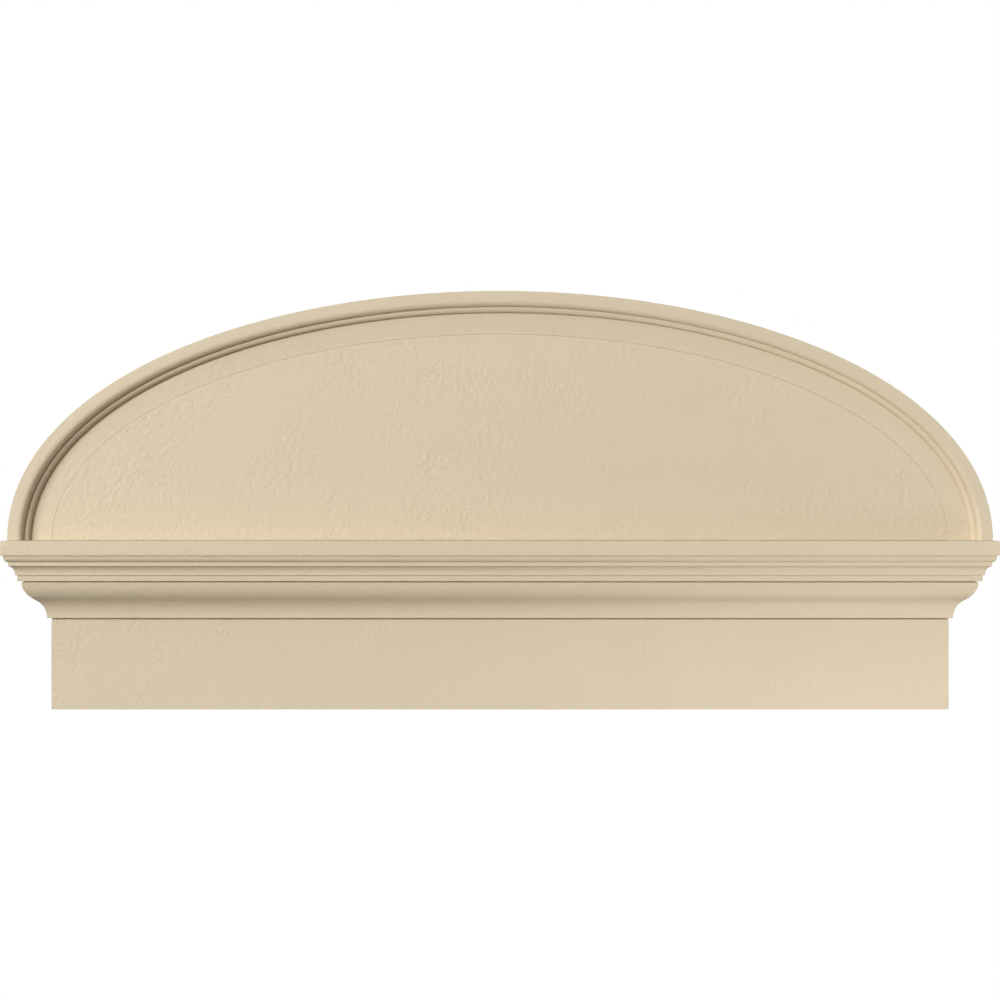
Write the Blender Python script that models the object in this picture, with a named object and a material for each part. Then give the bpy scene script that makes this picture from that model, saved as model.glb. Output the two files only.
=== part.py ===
"""Segmental pediment for the head of a door or window.

Metres, +Z up. The front faces -Y and the flat back lies on the wall at Y = 0.
The origin is on the wall, at the centre of the breastboard's back.
"""
import math

import bmesh
import bpy

# Overall sizes
WIDTH = 1.524  # cornice, end to end across its fascia
ARCH_RISE = 0.3858  # outer edge of the arch at its crown, above the cornice's ledge
BREASTBOARD_HEIGHT = 0.1420
BOARD_THICKNESS = 0.0254  # breastboard, tympanum panel and the arch moulding's band
JOINT_GAP = 0.0003  # between pieces that meet

# Crown moulding, from its top edge down and in
FASCIA_HEIGHT = 0.0226
FASCIA_STEP = 0.0034
CROWN_ROUND_LEAD = 0.0024
CROWN_ROUND_RADIUS = 0.0080
CROWN_ROUND_SWEEP = math.radians(78)
UPPER_FILLET_HEIGHT = 0.0056
CAVETTO_RADIUS = 0.0130
CAVETTO_SWEEP = math.radians(69.5)
CAVETTO_FOOT = 0.0026
LOWER_FILLET_STEP = 0.0029
LOWER_FILLET_HEIGHT = 0.0091

# Bed moulding: an ogee, convex above and concave below
BED_SETBACK = 0.0049  # behind the crown moulding's lower fillet
BED_REBATE_HEIGHT = 0.0017  # shadow gap under the crown moulding
BED_REBATE_DEPTH = 0.0025
OGEE_TOP = 0.0006  # the upper arc's centre, above the moulding's top
OGEE_UPPER_RADIUS = 0.0339
OGEE_LOWER_RADIUS = 0.0325
OGEE_SLOPE = math.radians(54.7)  # of the straight between the arcs, from upright
OGEE_STRAIGHT = 0.0052
BED_FOOT = 0.0019
BOARD_SETBACK = 0.0056  # breastboard and tympanum faces, behind the ogee's foot

# Breastboard
BOARD_REBATE_HEIGHT = 0.0018  # shadow gap under the bed moulding
BOARD_REBATE_DEPTH = 0.0040

# Arch moulding, from the seam with the tympanum panel outwards
BAND_WIDTH = 0.0334
BEAD_WALL = 0.0035
BEAD_RADIUS = 0.0065
BEAD_FLAT = 0.0020
OVOLO_STEP = 0.0025
OVOLO_RADIUS = 0.0085
RIM_WIDTH = 0.0148
SPRING_HEIGHT = 0.0010  # straight foot of the arch, above the ledge

# Facets
QUARTER_STEPS = 5
CAVETTO_STEPS = 5
OGEE_STEPS = 8
ARCH_STEPS = 96

# Finish: matte tan primer, linear colour
PRIMER_COLOUR = (0.708, 0.591, 0.423, 1.0)
PRIMER_ROUGHNESS = 0.62

WELD_DISTANCE = 0.00001
SMOOTH_ANGLE = math.radians(28)


def arc(centre, radius, start, end, steps):
    """Points on an arc, from one angle to another, both ends included."""
    points = []
    for step in range(steps + 1):
        angle = start + (end - start) * step / steps
        points.append((centre[0] + radius * math.cos(angle), centre[1] + radius * math.sin(angle)))
    return points


def crown_profile():
    """(inset, level) points of the crown moulding's face, downwards from its top edge."""
    inset = FASCIA_STEP
    level = -FASCIA_HEIGHT
    points = [(0, 0), (0, level), (inset, level)]
    level -= CROWN_ROUND_LEAD
    centre = (inset + CROWN_ROUND_RADIUS, level)
    points += arc(centre, CROWN_ROUND_RADIUS, math.pi, math.pi + CROWN_ROUND_SWEEP, QUARTER_STEPS)
    inset, level = points[-1]
    level -= UPPER_FILLET_HEIGHT
    # the cavetto's hollow is centred in front of the face, level with its foot
    inset -= CAVETTO_RADIUS * math.cos(CAVETTO_SWEEP)
    level -= CAVETTO_RADIUS * math.sin(CAVETTO_SWEEP)
    points += arc((inset, level), CAVETTO_RADIUS, CAVETTO_SWEEP, 0, CAVETTO_STEPS)
    inset, level = points[-1]
    level -= CAVETTO_FOOT
    points.append((inset, level))
    inset += LOWER_FILLET_STEP
    points.append((inset, level))
    points.append((inset, level - LOWER_FILLET_HEIGHT))
    return points


def bed_profile():
    """(inset, level) points of the bed moulding's face, downwards from its top edge."""
    inset = crown_profile()[-1][0] + BED_SETBACK
    rebate = inset + BED_REBATE_DEPTH
    points = [(rebate, 0), (rebate, -BED_REBATE_HEIGHT)]
    # the upper arc starts where the rebate has cut it
    start = math.pi + math.asin((BED_REBATE_HEIGHT + OGEE_TOP) / OGEE_UPPER_RADIUS)
    centre = (inset + OGEE_UPPER_RADIUS, OGEE_TOP)
    points += arc(centre, OGEE_UPPER_RADIUS, start, math.pi + OGEE_SLOPE, OGEE_STEPS)
    inset, level = points[-1]
    inset += OGEE_STRAIGHT * math.sin(OGEE_SLOPE) - OGEE_LOWER_RADIUS * math.cos(OGEE_SLOPE)
    level -= OGEE_STRAIGHT * math.cos(OGEE_SLOPE) + OGEE_LOWER_RADIUS * math.sin(OGEE_SLOPE)
    points += arc((inset, level), OGEE_LOWER_RADIUS, OGEE_SLOPE, 0, OGEE_STEPS)
    inset, level = points[-1]
    points.append((inset, level - BED_FOOT))
    return points


def arch_profile():
    """(distance out from the seam, distance forward from the wall) round the whole section."""
    face = BOARD_THICKNESS
    points = [(0, 0), (0, face), (BAND_WIDTH, face)]
    out = BAND_WIDTH + BEAD_RADIUS
    face += BEAD_WALL
    points += arc((out, face), BEAD_RADIUS, math.pi, math.pi / 2, QUARTER_STEPS)
    out += BEAD_FLAT
    face += BEAD_RADIUS
    points.append((out, face))
    face += OVOLO_STEP
    points += arc((out + OVOLO_RADIUS, face), OVOLO_RADIUS, math.pi, math.pi / 2, QUARTER_STEPS)
    out += OVOLO_RADIUS + RIM_WIDTH
    face += OVOLO_RADIUS
    points += [(out, face), (out, 0)]
    return points


def arch_line(inset):
    """Half ellipse on short straight feet, from the right foot over to the left one.

    It is the seam's line, moved in by the inset.
    """
    moulding_width = arch_profile()[-1][0]
    half_span = WIDTH / 2 - moulding_width - inset
    rise = ARCH_RISE - SPRING_HEIGHT - moulding_width - inset
    points = [(half_span, JOINT_GAP)]
    for step in range(ARCH_STEPS + 1):
        angle = math.pi * step / ARCH_STEPS
        points.append((half_span * math.cos(angle), SPRING_HEIGHT + rise * math.sin(angle)))
    points.append((-half_span, JOINT_GAP))
    return points


def flat_curve(name, points, closed):
    """A flat curve object through the points, in its own XY plane."""
    curve = bpy.data.curves.new(name, "CURVE")
    curve.dimensions = "2D"
    spline = curve.splines.new("POLY")
    spline.points.add(len(points) - 1)
    for point, (across, along) in zip(spline.points, points):
        point.co = (across, along, 0, 1)
    spline.use_cyclic_u = closed
    return bpy.data.objects.new(name, curve)


def solid_from_curve(curve_object, name):
    """The curve's solid as a welded mesh object, in the curve's place."""
    scene_objects = bpy.context.scene.collection.objects
    scene_objects.link(curve_object)
    evaluated = curve_object.evaluated_get(bpy.context.evaluated_depsgraph_get())
    mesh = bpy.data.meshes.new_from_object(evaluated)
    mesh.name = name
    solid = bpy.data.objects.new(name, mesh)
    solid.matrix_world = curve_object.matrix_basis
    bpy.data.objects.remove(curve_object)
    shape = bmesh.new()
    shape.from_mesh(mesh)
    bmesh.ops.remove_doubles(shape, verts=shape.verts, dist=WELD_DISTANCE)
    bmesh.ops.recalc_face_normals(shape, faces=shape.faces)
    shape.to_mesh(mesh)
    shape.free()
    mesh.materials.clear()
    mesh.shade_smooth()
    mesh.set_sharp_from_angle(angle=SMOOTH_ANGLE)
    return solid


def sweep(name, path, section):
    """A moulding: the closed section carried along the path, mitred at its corners.

    The section's first coordinate goes to the right of the path's way.
    """
    profile = flat_curve(name + "_section", section, True)
    run = flat_curve(name + "_path", path, False)
    run.data.bevel_mode = "OBJECT"
    run.data.bevel_object = profile
    run.data.use_fill_caps = True
    bpy.context.scene.collection.objects.link(profile)
    solid = solid_from_curve(run, name)
    bpy.data.objects.remove(profile)
    return solid


def returned_moulding(name, profile, depth, top):
    """A cornice moulding across the front, with a mitred return to the wall at each end."""
    half = WIDTH / 2
    path = [(-half, 0), (-half, -depth), (half, -depth), (half, 0)]
    section = [(-inset, level) for inset, level in profile]
    section += [(-depth, profile[-1][1]), (-depth, profile[0][1])]
    solid = sweep(name, path, section)
    solid.location.z = top
    return solid


def face_out(solid, level):
    """Stand a piece drawn flat upright, its back on the wall and its foot at the level."""
    solid.rotation_euler.x = math.pi / 2
    solid.location.z = level


def arch_moulding(level):
    solid = sweep("arch_moulding", arch_line(0), arch_profile())
    face_out(solid, level)
    return solid


def tympanum_panel(level):
    outline = flat_curve("tympanum_outline", arch_line(JOINT_GAP), True)
    outline.data.fill_mode = "BOTH"
    outline.data.extrude = BOARD_THICKNESS / 2
    solid = solid_from_curve(outline, "tympanum_panel")
    face_out(solid, level)
    solid.location.y = -BOARD_THICKNESS / 2
    return solid


def breastboard(width):
    """A plain board with its top front edge rebated, centred on the origin's height."""
    top = BREASTBOARD_HEIGHT / 2
    lip = top - BOARD_REBATE_HEIGHT
    recess = BOARD_THICKNESS - BOARD_REBATE_DEPTH
    # the path runs to the right, so the section's first coordinate is the way to the front
    section = [(0, -top), (BOARD_THICKNESS, -top), (BOARD_THICKNESS, lip), (recess, lip)]
    section += [(recess, top), (0, top)]
    return sweep("breastboard", [(-width / 2, 0), (width / 2, 0)], section)


def primer(name):
    """Matte primer for one piece."""
    material = bpy.data.materials.new(name + "_primer")
    material.use_nodes = True
    shader = material.node_tree.nodes["Principled BSDF"]
    shader.inputs["Base Color"].default_value = PRIMER_COLOUR
    shader.inputs["Roughness"].default_value = PRIMER_ROUGHNESS
    shader.inputs["Metallic"].default_value = 0.0
    return material


def build():
    for old in list(bpy.data.objects):
        bpy.data.objects.remove(old)
    parts = bpy.data.collections.new("segmental_pediment")
    bpy.context.scene.collection.children.link(parts)
    frame = bpy.data.objects.new("segmental_pediment_frame", None)
    parts.objects.link(frame)

    crown = crown_profile()
    bed = bed_profile()
    projection = bed[-1][0] + BOARD_SETBACK
    depth = BOARD_THICKNESS + projection
    bed_top = BREASTBOARD_HEIGHT / 2 + JOINT_GAP - bed[-1][1]
    ledge = bed_top + JOINT_GAP - crown[-1][1]

    pieces = [
        breastboard(WIDTH - 2 * projection),
        returned_moulding("bed_moulding", bed, depth, bed_top),
        returned_moulding("crown_moulding", crown, depth, ledge),
        tympanum_panel(ledge),
        arch_moulding(ledge),
    ]
    for piece in pieces:
        parts.objects.link(piece)
        piece.parent = frame
        piece.data.materials.append(primer(piece.name))


build()
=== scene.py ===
import math

import bmesh
import bpy
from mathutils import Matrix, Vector


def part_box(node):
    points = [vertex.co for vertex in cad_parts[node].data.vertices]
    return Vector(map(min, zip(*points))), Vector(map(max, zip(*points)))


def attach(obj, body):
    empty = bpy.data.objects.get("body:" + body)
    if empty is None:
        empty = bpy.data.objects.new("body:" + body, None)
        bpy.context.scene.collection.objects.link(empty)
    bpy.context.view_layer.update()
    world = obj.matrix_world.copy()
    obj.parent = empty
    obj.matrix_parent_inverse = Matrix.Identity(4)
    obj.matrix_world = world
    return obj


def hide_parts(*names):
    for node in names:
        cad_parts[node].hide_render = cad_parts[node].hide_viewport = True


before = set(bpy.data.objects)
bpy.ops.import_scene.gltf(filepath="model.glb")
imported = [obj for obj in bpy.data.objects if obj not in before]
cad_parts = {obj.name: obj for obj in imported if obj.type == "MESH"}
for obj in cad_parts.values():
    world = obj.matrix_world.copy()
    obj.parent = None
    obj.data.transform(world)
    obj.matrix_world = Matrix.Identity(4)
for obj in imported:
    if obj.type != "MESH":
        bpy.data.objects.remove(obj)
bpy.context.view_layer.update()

crownLow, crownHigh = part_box("crown_moulding")
bedLow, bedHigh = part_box("bed_moulding")
boardLow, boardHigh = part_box("breastboard")
panelLow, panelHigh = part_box("tympanum_panel")
archLow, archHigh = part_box("arch_moulding")
wallY = 0.0  # the flat back of every piece
cornerX, frontY = crownHigh.x, crownLow.y  # the cornice's ends and front
ledgeZ = crownHigh.z
faceY = panelLow.y  # boards and the arch's flat band
hairline = 0.00004  # left open where the panel, the arch and the ledge meet


# Sections

edges = {
    "radius": 0.0005,  # softened arris along an outward corner
    "steps": 2,
    "guard": 0.0004,  # a point this far beyond each arris keeps the flats flat
    "sharp": math.radians(24),  # corners that turn less stay as they are
    "share": 0.42,  # of a short edge, the most that one arris takes
    "spacing": 0.006,  # between points on the long flats and along a run
    "onWall": 2,  # the last corners of every outline lie on the wall and stay sharp
}


def arc(centre, radius, start, end, steps):
    points = []
    for step in range(steps + 1):
        angle = start + (end - start) * step / steps
        points.append(Vector((centre[0] + radius * math.cos(angle), centre[1] + radius * math.sin(angle))))
    return points


def easeCorners(points):
    # outward corners become small arcs
    eased = []
    count = len(points)
    winding = sum(a.x * b.y - a.y * b.x for a, b in zip(points, points[1:] + points[:1]))
    for index, here in enumerate(points):
        before = points[index - 1] - here
        after = points[(index + 1) % count] - here
        turn = math.pi - before.angle(after)
        outward = (before.y * after.x - before.x * after.y) * winding > 0
        if index >= count - edges["onWall"] or turn < edges["sharp"] or not outward:
            eased.append(here)
            continue
        reach = min(before.length, after.length) * edges["share"]
        cut = min(edges["radius"] * math.tan(turn / 2), reach)
        start = here + before.normalized() * cut
        end = here + after.normalized() * cut
        if before.length * edges["share"] > cut + edges["guard"]:
            eased.append(start + before.normalized() * edges["guard"])
        for step in range(edges["steps"] + 1):
            share = step / edges["steps"]
            eased.append(start * (1 - share) ** 2 + here * 2 * share * (1 - share) + end * share ** 2)
        if after.length * edges["share"] > cut + edges["guard"]:
            eased.append(end + after.normalized() * edges["guard"])
    return eased


def fillLong(points):
    # extra points on the long flats, for the slight unevenness of a cast face
    filled = []
    for here, there in zip(points, points[1:] + points[:1]):
        parts = math.ceil((there - here).length / edges["spacing"])
        filled += [here.lerp(there, part / parts) for part in range(max(parts, 1))]
    return filled


# Meshes

mergeReach = 0.000005  # points nearer to each other than this become one


def pieceFromShape(name, shape):
    bmesh.ops.remove_doubles(shape, verts=shape.verts, dist=mergeReach)
    bmesh.ops.recalc_face_normals(shape, faces=shape.faces)
    mesh = bpy.data.meshes.new(name)
    shape.to_mesh(mesh)
    shape.free()
    piece = bpy.data.objects.new(name, mesh)
    bpy.context.scene.collection.objects.link(piece)
    return piece


def joinRings(shape, near, far):
    for index in range(len(near)):
        following = (index + 1) % len(near)
        shape.faces.new((near[index], near[following], far[following], far[index]))


def loftRings(name, rings):
    # quads between closed rings, with a flat cap at each end
    shape = bmesh.new()
    rows = [[shape.verts.new(point) for point in ring] for ring in rings]
    for near, far in zip(rows, rows[1:]):
        joinRings(shape, near, far)
    shape.faces.new(rows[0])
    shape.faces.new(rows[-1])
    return pieceFromShape(name, shape)


# Node trees

def addNode(tree, kind, inputs=None, **settings):
    # an input is either a value or another node's output
    node = tree.nodes.new(kind)
    for name, value in settings.items():
        setattr(node, name, value)
    for name, value in (inputs or {}).items():
        if isinstance(value, bpy.types.NodeSocket):
            tree.links.new(value, node.inputs[name])
        else:
            node.inputs[name].default_value = value
    return node


def maths(tree, operation, *values):
    node = addNode(tree, "ShaderNodeMath", dict(enumerate(values)), operation=operation)
    return node.outputs[0]


def addSockets(tree, direction, kinds):
    for name, kind in kinds.items():
        tree.interface.new_socket(name, in_out=direction, socket_type="NodeSocket" + kind)


def noiseOfSize(tree, place, size, detail, roughness=0.5):
    scale = maths(tree, "DIVIDE", 1.0, size)
    inputs = {"Vector": place, "Scale": scale, "Detail": detail, "Roughness": roughness}
    return addNode(tree, "ShaderNodeTexNoise", inputs).outputs["Fac"]


def closeTree(tree, geometry, material):
    realize = addNode(tree, "GeometryNodeRealizeInstances", {"Geometry": geometry})
    paint = addNode(tree, "GeometryNodeSetMaterial", {"Geometry": realize.outputs[0], "Material": material})
    addNode(tree, "NodeGroupOutput", {"Geometry": paint.outputs[0]})


def applyTree(piece, tree, values):
    # the tree's result becomes the piece's own plain mesh
    modifier = piece.modifiers.new(tree.name, "NODES")
    modifier.node_group = tree
    sockets = {item.name: item.identifier for item in tree.interface.items_tree if item.in_out == "INPUT"}
    for name, value in values.items():
        modifier[sockets[name]] = value
    bpy.context.view_layer.update()
    evaluated = piece.evaluated_get(bpy.context.evaluated_depsgraph_get())
    mesh = bpy.data.meshes.new_from_object(evaluated)
    piece.modifiers.remove(modifier)
    piece.data = mesh
    mesh.name = piece.name


# Surface of a cast piece: it sinks a little here and there, but not on the wall

surface = {
    "Wave": 0.024,  # size of the hollows
    "Sink": 0.00014,  # their greatest depth
    "Wall Side": wallY - 0.001,  # points behind this stay
}
smoothAngle = math.radians(50)  # edges that turn more stay sharp


def castSurfaceTree():
    tree = bpy.data.node_groups.new("castSurface", "GeometryNodeTree")
    addSockets(tree, "INPUT", {"Geometry": "Geometry", "Wave": "Float", "Sink": "Float",
                               "Wall Side": "Float", "Material": "Material"})
    addSockets(tree, "OUTPUT", {"Geometry": "Geometry"})
    given = addNode(tree, "NodeGroupInput").outputs
    place = addNode(tree, "GeometryNodeInputPosition").outputs[0]
    normal = addNode(tree, "GeometryNodeInputNormal").outputs[0]
    noise = noiseOfSize(tree, place, given["Wave"], detail=2.0)
    sink = maths(tree, "MULTIPLY", maths(tree, "MULTIPLY", noise, given["Sink"]), -1.0)
    offset = addNode(tree, "ShaderNodeVectorMath", {0: normal, "Scale": sink}, operation="SCALE").outputs[0]
    depth = addNode(tree, "ShaderNodeSeparateXYZ", {0: place}).outputs["Y"]
    inFront = maths(tree, "LESS_THAN", depth, given["Wall Side"])
    moved = addNode(tree, "GeometryNodeSetPosition",
                    {"Geometry": given["Geometry"], "Selection": inFront, "Offset": offset})
    closeTree(tree, moved.outputs[0], given["Material"])
    return tree


castSurface = castSurfaceTree()


def finishPiece(piece, material, node):
    applyTree(piece, castSurface, dict(surface, Material=material))
    piece.data.shade_smooth()
    piece.data.set_sharp_from_angle(angle=smoothAngle)
    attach(piece, "root")
    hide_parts(node)
    print("made", piece.name, "with", len(piece.data.polygons), "faces")


# Primed finish, shared by the boards and the mouldings

primerColour = (0.652, 0.552, 0.398, 1)
boardFinish = {
    "Colour": primerColour, "Roughness": 0.62,
    "Cloud Size": 0.09, "Cloud Strength": 0.05,  # tone of the film, thicker and thinner
    "Patch Size": 0.075,  # patches where the stipple shows
    "Stipple Size": 0.0080, "Stipple Depth": 0.0017,
    "Grain Size": 0.0030, "Grain Depth": 0.00025,
}
mouldingFinish = {
    "Colour": primerColour, "Roughness": 0.42,
    "Cloud Size": 0.12, "Cloud Strength": 0.04,
    "Patch Size": 0.10,
    "Stipple Size": 0.009, "Stipple Depth": 0.0010,
    "Grain Size": 0.0030, "Grain Depth": 0.0002,
}
noiseMiddle = 0.5  # taken off a noise, so that it swings both ways
thinFilm = 0.25  # how much of the cloud goes into the roughness: matter where the film is thin
specularLevel = 0.35


def primerFilmGroup():
    group = bpy.data.node_groups.new("primerFilm", "ShaderNodeTree")
    numbers = [name for name in boardFinish if name != "Colour"]
    addSockets(group, "INPUT", {"Colour": "Color", **{name: "Float" for name in numbers}})
    addSockets(group, "OUTPUT", {"Colour": "Color", "Roughness": "Float", "Normal": "Vector"})
    given = addNode(group, "NodeGroupInput").outputs
    place = addNode(group, "ShaderNodeTexCoord").outputs["Object"]

    cloud = noiseOfSize(group, place, given["Cloud Size"], detail=3.0, roughness=0.6)
    cloud = maths(group, "SUBTRACT", cloud, noiseMiddle)
    tone = maths(group, "MULTIPLY_ADD", cloud, given["Cloud Strength"], 1.0)
    colour = addNode(group, "ShaderNodeVectorMath", {0: given["Colour"], "Scale": tone}, operation="SCALE")
    rough = maths(group, "MULTIPLY_ADD", cloud, thinFilm, given["Roughness"])

    patch = addNode(group, "ShaderNodeMapRange", {
        "Value": noiseOfSize(group, place, given["Patch Size"], detail=2.0),
        "From Min": 0.36, "From Max": 0.66, "To Min": 0.35, "To Max": 0.95,
    }, interpolation_type="SMOOTHSTEP").outputs[0]
    stipple = noiseOfSize(group, place, given["Stipple Size"], detail=2.0)
    stipple = maths(group, "SUBTRACT", stipple, noiseMiddle)
    stipple = maths(group, "MULTIPLY", stipple, patch)
    stippled = addNode(group, "ShaderNodeBump", {"Height": stipple, "Distance": given["Stipple Depth"]})
    grained = addNode(group, "ShaderNodeBump", {
        "Height": noiseOfSize(group, place, given["Grain Size"], detail=1.0),
        "Distance": given["Grain Depth"], "Normal": stippled.outputs[0],
    })
    addNode(group, "NodeGroupOutput", {
        "Colour": colour.outputs[0], "Roughness": rough, "Normal": grained.outputs[0]})
    return group


primerFilm = primerFilmGroup()


def primedMaterial(name, finish):
    material = bpy.data.materials.new(name)
    material.use_nodes = True
    tree = material.node_tree
    film = addNode(tree, "ShaderNodeGroup", node_tree=primerFilm)
    for key, value in finish.items():
        film.inputs[key].default_value = value
    shader = tree.nodes["Principled BSDF"]
    tree.links.new(film.outputs["Colour"], shader.inputs["Base Color"])
    tree.links.new(film.outputs["Roughness"], shader.inputs["Roughness"])
    tree.links.new(film.outputs["Normal"], shader.inputs["Normal"])
    shader.inputs["Specular IOR Level"].default_value = specularLevel
    return material


boardPrimer = primedMaterial("boardPrimer", boardFinish)
mouldingPrimer = primedMaterial("mouldingPrimer", mouldingFinish)
print("finish ready")


# Crown and bed mouldings: (inset, level) points down the face, mitred round both ends

crown = {
    "fasciaHeight": 0.0226, "fasciaArris": 0.0005, "fasciaStep": 0.0034,
    "roundLead": 0.0024, "roundRadius": 0.0080, "roundSweep": math.radians(78),
    "filletHeight": 0.0056,
    "cavettoRadius": 0.0130, "cavettoSweep": math.radians(69.5), "cavettoFoot": 0.0026,
    "lowerStep": 0.0029, "footArris": 0.0006,
    "arcSteps": 10, "arrisSteps": 4,
}
bed = {
    "setback": 0.0049,
    "gapHeight": 0.0017, "gapDepth": 0.0025,  # shadow gap under the crown moulding
    "ogeeTop": 0.0006,  # the upper arc's centre, above the moulding's top
    "upperRadius": 0.0339, "lowerRadius": 0.0325, "slope": math.radians(54.7), "straight": 0.0052,
    "arcSteps": 14,
}


def arris(inset, level, radius):
    # the rounded lower edge of a flat face
    return arc((inset + radius, level + radius), radius, math.pi, 1.5 * math.pi, crown["arrisSteps"])


def crownProfile():
    inset, level = crown["fasciaStep"], -crown["fasciaHeight"]
    points = [Vector((0, 0))] + arris(0, level, crown["fasciaArris"]) + [Vector((inset, level))]
    radius = crown["roundRadius"]
    level -= crown["roundLead"]
    points += arc((inset + radius, level), radius, math.pi, math.pi + crown["roundSweep"], crown["arcSteps"])
    inset, level = points[-1]
    level -= crown["filletHeight"]
    sweep, radius = crown["cavettoSweep"], crown["cavettoRadius"]
    centre = (inset - radius * math.cos(sweep), level - radius * math.sin(sweep))
    points += arc(centre, radius, sweep, 0, crown["arcSteps"])
    inset, level = points[-1]
    level -= crown["cavettoFoot"]
    points.append(Vector((inset, level)))
    inset += crown["lowerStep"]
    points += [Vector((inset, level))] + arris(inset, crownLow.z - crownHigh.z, crown["footArris"])
    return points


def bedProfile():
    inset, slope = crownProfile()[-1].x - crown["footArris"] + bed["setback"], bed["slope"]
    recess = inset + bed["gapDepth"]
    points = [Vector((recess, 0)), Vector((recess, -bed["gapHeight"]))]
    radius = bed["upperRadius"]
    start = math.pi + math.asin((bed["gapHeight"] + bed["ogeeTop"]) / radius)
    points += arc((inset + radius, bed["ogeeTop"]), radius, start, math.pi + slope, bed["arcSteps"])
    inset, level = points[-1]
    radius = bed["lowerRadius"]
    inset += bed["straight"] * math.sin(slope) - radius * math.cos(slope)
    level -= bed["straight"] * math.cos(slope) + radius * math.sin(slope)
    points += arc((inset, level), radius, slope, 0, bed["arcSteps"])
    points.append(Vector((points[-1].x, bedLow.z - bedHigh.z)))
    return points


def returnedMoulding(name, profile, top):
    depth = wallY - frontY
    outline = profile + [Vector((depth, profile[-1].y)), Vector((depth, profile[0].y))]
    section = fillLong(easeCorners(outline))
    sideSteps = math.ceil(depth / edges["spacing"])
    frontSteps = math.ceil(2 * cornerX / edges["spacing"])
    along = [(-1, step / sideSteps) for step in range(sideSteps)]
    along += [(2 * step / frontSteps - 1, 1) for step in range(frontSteps + 1)]
    along += [(1, step / sideSteps) for step in range(sideSteps - 1, -1, -1)]
    rings = [[((cornerX - p.x) * across, wallY - (depth - p.x) * out, top + p.y) for p in section]
             for across, out in along]
    return loftRings(name, rings)


finishPiece(returnedMoulding("crownMoulding", crownProfile(), ledgeZ), mouldingPrimer, "crown_moulding")
finishPiece(returnedMoulding("bedMoulding", bedProfile(), bedHigh.z), mouldingPrimer, "bed_moulding")


# Arch moulding: its section swept over a half ellipse on short straight feet

arch = {
    "bandWidth": 0.0334, "beadWall": 0.0035, "beadRadius": 0.0065, "beadFlat": 0.0020,
    "ovoloStep": 0.0025, "ovoloRadius": 0.0085,
    "arcSteps": 9,
    "springHeight": 0.0010,  # the ellipse's level line, above the ledge
    "lineSteps": 320,
}
halfSpan = panelHigh.x + (archLow.z - ledgeZ)  # the seam, a joint's gap outside the panel
springZ = ledgeZ + arch["springHeight"]
archWidth = archHigh.x - halfSpan
archRise = archHigh.z - springZ - archWidth


def archSection():
    # (outwards from the seam, forwards from the wall)
    face = wallY - faceY
    points = [Vector((0, face)), Vector((arch["bandWidth"], face))]
    face += arch["beadWall"]
    radius = arch["beadRadius"]
    points += arc((arch["bandWidth"] + radius, face), radius, math.pi, math.pi / 2, arch["arcSteps"])
    out, face = points[-1]
    out += arch["beadFlat"]
    points.append(Vector((out, face)))
    face += arch["ovoloStep"]
    radius = arch["ovoloRadius"]
    points += arc((out + radius, face), radius, math.pi, math.pi / 2, arch["arcSteps"])
    points += [Vector((archWidth, wallY - archLow.y)), Vector((archWidth, 0)), Vector((0, 0))]
    return fillLong(easeCorners(points))


def archSweepTree():
    tree = bpy.data.node_groups.new("archSweep", "GeometryNodeTree")
    addSockets(tree, "INPUT", {"Geometry": "Geometry", "Half Span": "Float", "Rise": "Float", "Foot": "Float",
                               "Steps": "Int", "Spring Point": "Vector", "Material": "Material"})
    addSockets(tree, "OUTPUT", {"Geometry": "Geometry"})
    given = addNode(tree, "NodeGroupInput").outputs

    line = addNode(tree, "GeometryNodeCurvePrimitiveLine")
    points = addNode(tree, "GeometryNodeResampleCurve",
                     {"Curve": line.outputs[0], "Count": maths(tree, "ADD", given["Steps"], 3)})
    # the first and last points are the feet, and the others share out the half turn
    footShare = maths(tree, "DIVIDE", 1, maths(tree, "ADD", given["Steps"], 2))
    turn = addNode(tree, "ShaderNodeMapRange", {
        "Value": addNode(tree, "GeometryNodeSplineParameter").outputs["Factor"],
        "From Min": footShare, "From Max": maths(tree, "SUBTRACT", 1, footShare),
        "To Min": 0, "To Max": math.pi,
    }).outputs[0]
    across = maths(tree, "MULTIPLY", maths(tree, "COSINE", turn), given["Half Span"])
    up = maths(tree, "MULTIPLY", maths(tree, "SINE", turn), given["Rise"])
    ellipse = addNode(tree, "GeometryNodeSetPosition", {
        "Geometry": points.outputs[0],
        "Position": addNode(tree, "ShaderNodeCombineXYZ", {"X": across, "Y": up}).outputs[0],
    })
    drop = addNode(tree, "ShaderNodeCombineXYZ", {"Y": maths(tree, "MULTIPLY", given["Foot"], -1)})
    footed = addNode(tree, "GeometryNodeSetPosition", {
        "Geometry": ellipse.outputs[0], "Offset": drop.outputs[0],
        "Selection": addNode(tree, "GeometryNodeCurveEndpointSelection").outputs[0],
    })
    path = addNode(tree, "GeometryNodeSetCurveNormal", {"Curve": footed.outputs[0]}, mode="Z_UP")
    section = addNode(tree, "GeometryNodeMeshToCurve", {"Mesh": given["Geometry"]})
    swept = addNode(tree, "GeometryNodeCurveToMesh", {
        "Curve": path.outputs[0], "Profile Curve": section.outputs[0], "Fill Caps": True})
    standing = addNode(tree, "GeometryNodeTransform", {
        "Geometry": swept.outputs[0], "Translation": given["Spring Point"], "Rotation": (math.pi / 2, 0, 0)})
    closeTree(tree, standing.outputs[0], given["Material"])
    return tree


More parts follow.
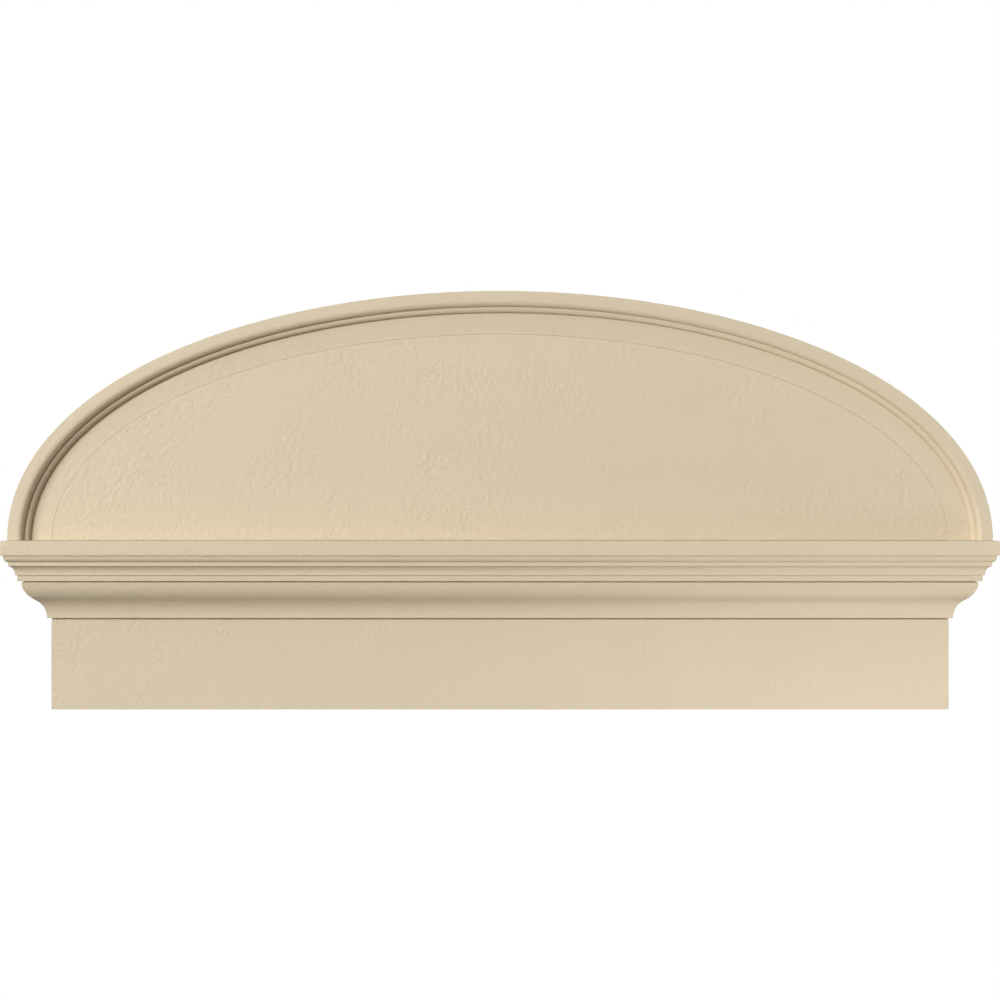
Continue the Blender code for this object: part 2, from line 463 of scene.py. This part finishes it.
def archMoulding():
    section = archSection()
    mesh = bpy.data.meshes.new("archMoulding")
    ring = [(index, (index + 1) % len(section)) for index in range(len(section))]
    mesh.from_pydata([(p.x, -p.y, 0) for p in section], ring, [])  # the sweep turns its y to the back
    piece = bpy.data.objects.new("archMoulding", mesh)
    bpy.context.scene.collection.objects.link(piece)
    applyTree(piece, archSweepTree(), {
        "Half Span": halfSpan, "Rise": archRise, "Foot": arch["springHeight"] - hairline,
        "Steps": arch["lineSteps"], "Spring Point": (0.0, wallY, springZ), "Material": mouldingPrimer,
    })
    return piece


finishPiece(archMoulding(), mouldingPrimer, "arch_moulding")


# Tympanum panel: the half ellipse inside the seam

panel = {
    "arris": 0.0003, "arrisSteps": 2,
    "columns": 300, "rows": 72,  # grid of its face
    "edgeRows": 3,  # between the arris and the wall
}


def panelPoint(column, row, inset, forward):
    # the half ellipse on the ledge, drawn in by the inset
    angle = math.pi * (column / panel["columns"] - 0.5)
    across = (halfSpan - hairline - inset) * math.sin(angle)
    top = springZ + (archRise - hairline - inset) * math.cos(angle)
    bottom = ledgeZ + hairline + inset
    return across, wallY - forward, bottom + (top - bottom) * row / panel["rows"]


def tympanumPanel():
    columns, rows = panel["columns"], panel["rows"]
    rim = [(column, 0) for column in range(columns)]
    rim += [(columns, row) for row in range(rows)]
    rim += [(column, rows) for column in range(columns, 0, -1)]
    rim += [(0, row) for row in range(rows, 0, -1)]
    thick, arris = wallY - faceY, panel["arris"]
    shape = bmesh.new()
    face = [[shape.verts.new(panelPoint(column, row, arris, thick)) for row in range(rows + 1)]
            for column in range(columns + 1)]
    for left, right in zip(face, face[1:]):
        for row in range(rows):
            shape.faces.new((left[row], right[row], right[row + 1], left[row + 1]))
    depths = []
    for step in range(1, panel["arrisSteps"] + 1):
        angle = math.pi / 2 * step / panel["arrisSteps"]
        depths.append((arris * (1 - math.sin(angle)), thick - arris * (1 - math.cos(angle))))
    for step in range(1, panel["edgeRows"] + 1):
        depths.append((0, (thick - arris) * (1 - step / panel["edgeRows"])))
    edge = [face[column][row] for column, row in rim]
    for inset, forward in depths:
        beyond = [shape.verts.new(panelPoint(column, row, inset, forward)) for column, row in rim]
        joinRings(shape, edge, beyond)
        edge = beyond
    shape.faces.new(edge)
    return pieceFromShape("tympanumPanel", shape)


finishPiece(tympanumPanel(), boardPrimer, "tympanum_panel")


# Breastboard

breast = {
    "gapHeight": 0.0018, "gapDepth": 0.0040,  # shadow gap under the bed moulding
}


def breastBoard():
    depth, height, half = wallY - boardLow.y, boardHigh.z - boardLow.z, boardHigh.x
    lip, recess = height - breast["gapHeight"], depth - breast["gapDepth"]
    outline = [(depth, 0), (depth, lip), (recess, lip), (recess, height), (0, height), (0, 0)]
    section = fillLong(easeCorners([Vector(point) for point in outline]))
    arris = edges["radius"]
    steps = math.ceil(2 * half / edges["spacing"])
    inner = half - arris - edges["guard"]
    # (across, how far the section is drawn in), for an arris round each end
    places = [(-half, arris), (-half + arris, 0)]
    places += [(inner * (2 * step / steps - 1), 0) for step in range(steps + 1)]
    places += [(half - arris, 0), (half, arris)]
    rings = []
    for across, shrink in places:
        rings.append([(across, wallY - depth / 2 - (p.x - depth / 2) * (1 - 2 * shrink / depth),
                       boardLow.z + height / 2 + (p.y - height / 2) * (1 - 2 * shrink / height))
                      for p in section])
    return loftRings("breastBoard", rings)


finishPiece(breastBoard(), boardPrimer, "breastboard")


# Camera, level and square on to the front

view = {
    "lens": 72.0, "sensor": 36.0,
    "aboveLedge": 0.0625,  # height of the level line of sight
}
camera = bpy.data.objects.new("camera", bpy.data.cameras.new("camera"))
bpy.context.scene.collection.objects.link(camera)
camera.data.lens = view["lens"]
camera.data.sensor_width = view["sensor"]
distance = 2 * cornerX * view["lens"] / view["sensor"]  # the cornice fills the width
camera.location = (0, frontY - distance, ledgeZ + view["aboveLedge"])
camera.rotation_euler = (math.pi / 2, 0, 0)
bpy.context.scene.camera = camera


# Studio: pale floor, white background and soft lights

studio = {
    "floorDrop": 0.9,  # below the breastboard
    "floorSize": 40.0,
    "floorColour": (0.075, 0.052, 0.026, 1),  # of its bounce, low and warm; the camera sees it white
    "floorRoughness": 0.9,
    "aim": (0, 0, ledgeZ),  # of the lights without one of their own
    "lowAim": (0.45, -0.05, 0.14),
}
lights = {
    "keyLight": {"place": (-4.85, -7.76, 2.90), "size": 1.4, "power": 440},
    "sideLight": {"place": (-7.28, -6.11, 1.30), "size": 2.0, "power": 370},
    "highLight": {"place": (-3.68, -6.37, 6.37), "size": 2.4, "power": 90},
    "topLight": {"place": (-1.07, -2.30, 5.64), "size": 2.0, "power": 70},
    "fillLight": {"place": (2.52, -5.41, 0.83), "size": 2.0, "power": 36},
    # behind the wall plane, for views of the right end and the back
    "rightLight": {"place": (5.6, 1.2, 1.3), "size": 2.0, "power": 130},
    "backLight": {"place": (0, 6.4, 0.2), "size": 1.0, "power": 260},
    # small ones low on the right, which lighten the undersides there
    "endLight": {"place": (1.4, -0.3, -0.1), "size": 0.6, "power": 2.0, "aim": studio["lowAim"]},
    "lowLight": {"place": (1.2, -1.4, -0.75), "size": 0.9, "power": 3.0, "aim": studio["lowAim"]},
    "underLight": {"place": (0.6, -0.3, -0.7), "size": 0.6, "power": 2.4, "aim": studio["lowAim"]},
}


def whiteToCamera(tree, shader, white, output):
    # the camera sees plain white, and the light that falls on the object comes from the shader
    path = addNode(tree, "ShaderNodeLightPath")
    glow = addNode(tree, white, {"Color": (1, 1, 1, 1)})
    mix = addNode(tree, "ShaderNodeMixShader", {
        0: path.outputs["Is Camera Ray"], 1: shader.outputs[0], 2: glow.outputs[0]})
    tree.links.new(mix.outputs[0], output.inputs["Surface"])


def paleFloor():
    half, level = studio["floorSize"] / 2, boardLow.z - studio["floorDrop"]
    mesh = bpy.data.meshes.new("paleFloor")
    corners = [(-half, -half, level), (half, -half, level), (half, half, level), (-half, half, level)]
    mesh.from_pydata(corners, [], [(0, 1, 2, 3)])
    floor = bpy.data.objects.new("paleFloor", mesh)
    bpy.context.scene.collection.objects.link(floor)
    material = bpy.data.materials.new("paleFloor")
    material.use_nodes = True
    nodes = material.node_tree.nodes
    shader = nodes["Principled BSDF"]
    shader.inputs["Base Color"].default_value = studio["floorColour"]
    shader.inputs["Roughness"].default_value = studio["floorRoughness"]
    whiteToCamera(material.node_tree, shader, "ShaderNodeEmission", nodes["Material Output"])
    floor.data.materials.append(material)


def studioWorld():
    world = bpy.data.worlds.new("studio")
    bpy.context.scene.world = world
    world.use_nodes = True
    nodes = world.node_tree.nodes
    background = nodes["Background"]
    background.inputs["Strength"].default_value = 0  # all the light comes from the soft lights
    whiteToCamera(world.node_tree, background, "ShaderNodeBackground", nodes["World Output"])


def softLight(name, values):
    light = bpy.data.objects.new(name, bpy.data.lights.new(name, "AREA"))
    bpy.context.scene.collection.objects.link(light)
    light.data.shape = "DISK"
    light.data.size = values["size"]
    light.data.energy = values["power"]
    light.location = values["place"]
    aim = Vector(values.get("aim", studio["aim"])) - light.location
    light.rotation_euler = aim.to_track_quat("-Z", "Y").to_euler()
    light.visible_camera = False  # the low ones stand near the piece


paleFloor()
studioWorld()
for lightName, lightValues in lights.items():
    softLight(lightName, lightValues)
bpy.context.scene.view_settings.view_transform = "Standard"
print("studio ready")
